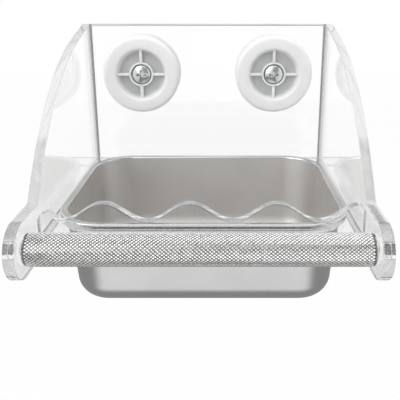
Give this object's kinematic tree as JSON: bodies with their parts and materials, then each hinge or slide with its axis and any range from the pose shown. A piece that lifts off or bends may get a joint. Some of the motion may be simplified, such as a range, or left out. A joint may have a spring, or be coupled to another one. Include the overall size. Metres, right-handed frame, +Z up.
{
  "type": "cage bird feeder",
  "caption": "Clear acrylic bird feeder that clamps to cage bars, with a lift-out steel tray, a wavy seed guard and a knurled metal perch.",
  "frame": {"origin": "midway between the two clamp screws, on the rear face of the back panel, where it meets the cage bars", "axes": "+X to the right seen from the bird's side, +Y towards the cage bars, +Z up"},
  "size_m": [0.132, 0.154, 0.1083],
  "materials": {
    "clear_acrylic": "clear polished acrylic sheet",
    "stainless_tray": "satin drawn stainless steel",
    "knurled_metal": "bright metal with a diamond knurl",
    "zinc_steel": "bright zinc plating",
    "milky_plastic": "milky moulded plastic"
  },
  "bodies": {
    "frame": {"back_panel": "clear_acrylic", "left_side_panel": "clear_acrylic", "right_side_panel": "clear_acrylic", "tray_shelf": "clear_acrylic", "wave_guard": "clear_acrylic", "perch_bar": "knurled_metal", "left_perch_screw": "zinc_steel", "right_perch_screw": "zinc_steel", "left_front_disc": "milky_plastic", "right_front_disc": "milky_plastic", "left_clamp_screw": "zinc_steel", "right_clamp_screw": "zinc_steel"},
    "tray": {"food_tray": "stainless_tray"},
    "left_disc": {"left_rear_disc": "milky_plastic"},
    "left_nut": {"left_wing_nut": "zinc_steel"},
    "right_disc": {"right_rear_disc": "milky_plastic"},
    "right_nut": {"right_wing_nut": "zinc_steel"}
  },
  "joints": [
    {"name": "tray_lift", "type": "slide", "parent": "frame", "child": "tray", "axis": [0, 0, 1], "range_m": [0, 0.055]},
    {"name": "left_disc_slide", "type": "slide", "parent": "frame", "child": "left_disc", "axis": [0, 1, 0], "range_m": [0, 0.0065]},
    {"name": "left_nut_spin", "type": "hinge", "parent": "left_disc", "child": "left_nut", "pos_m": [-0.03475, 0, 0], "axis": [0, 1, 0], "range_deg": [0, 2880]},
    {"name": "right_disc_slide", "type": "slide", "parent": "frame", "child": "right_disc", "axis": [0, 1, 0], "range_m": [0, 0.0065]},
    {"name": "right_nut_spin", "type": "hinge", "parent": "right_disc", "child": "right_nut", "pos_m": [0.03475, 0, 0], "axis": [0, 1, 0], "range_deg": [0, 2880]}
  ],
  "couplings": [
    {"joint": "left_disc_slide", "follows": "left_nut_spin", "m_per_rad": 0.00012732},
    {"joint": "right_disc_slide", "follows": "right_nut_spin", "m_per_rad": 0.00012732}
  ]
}
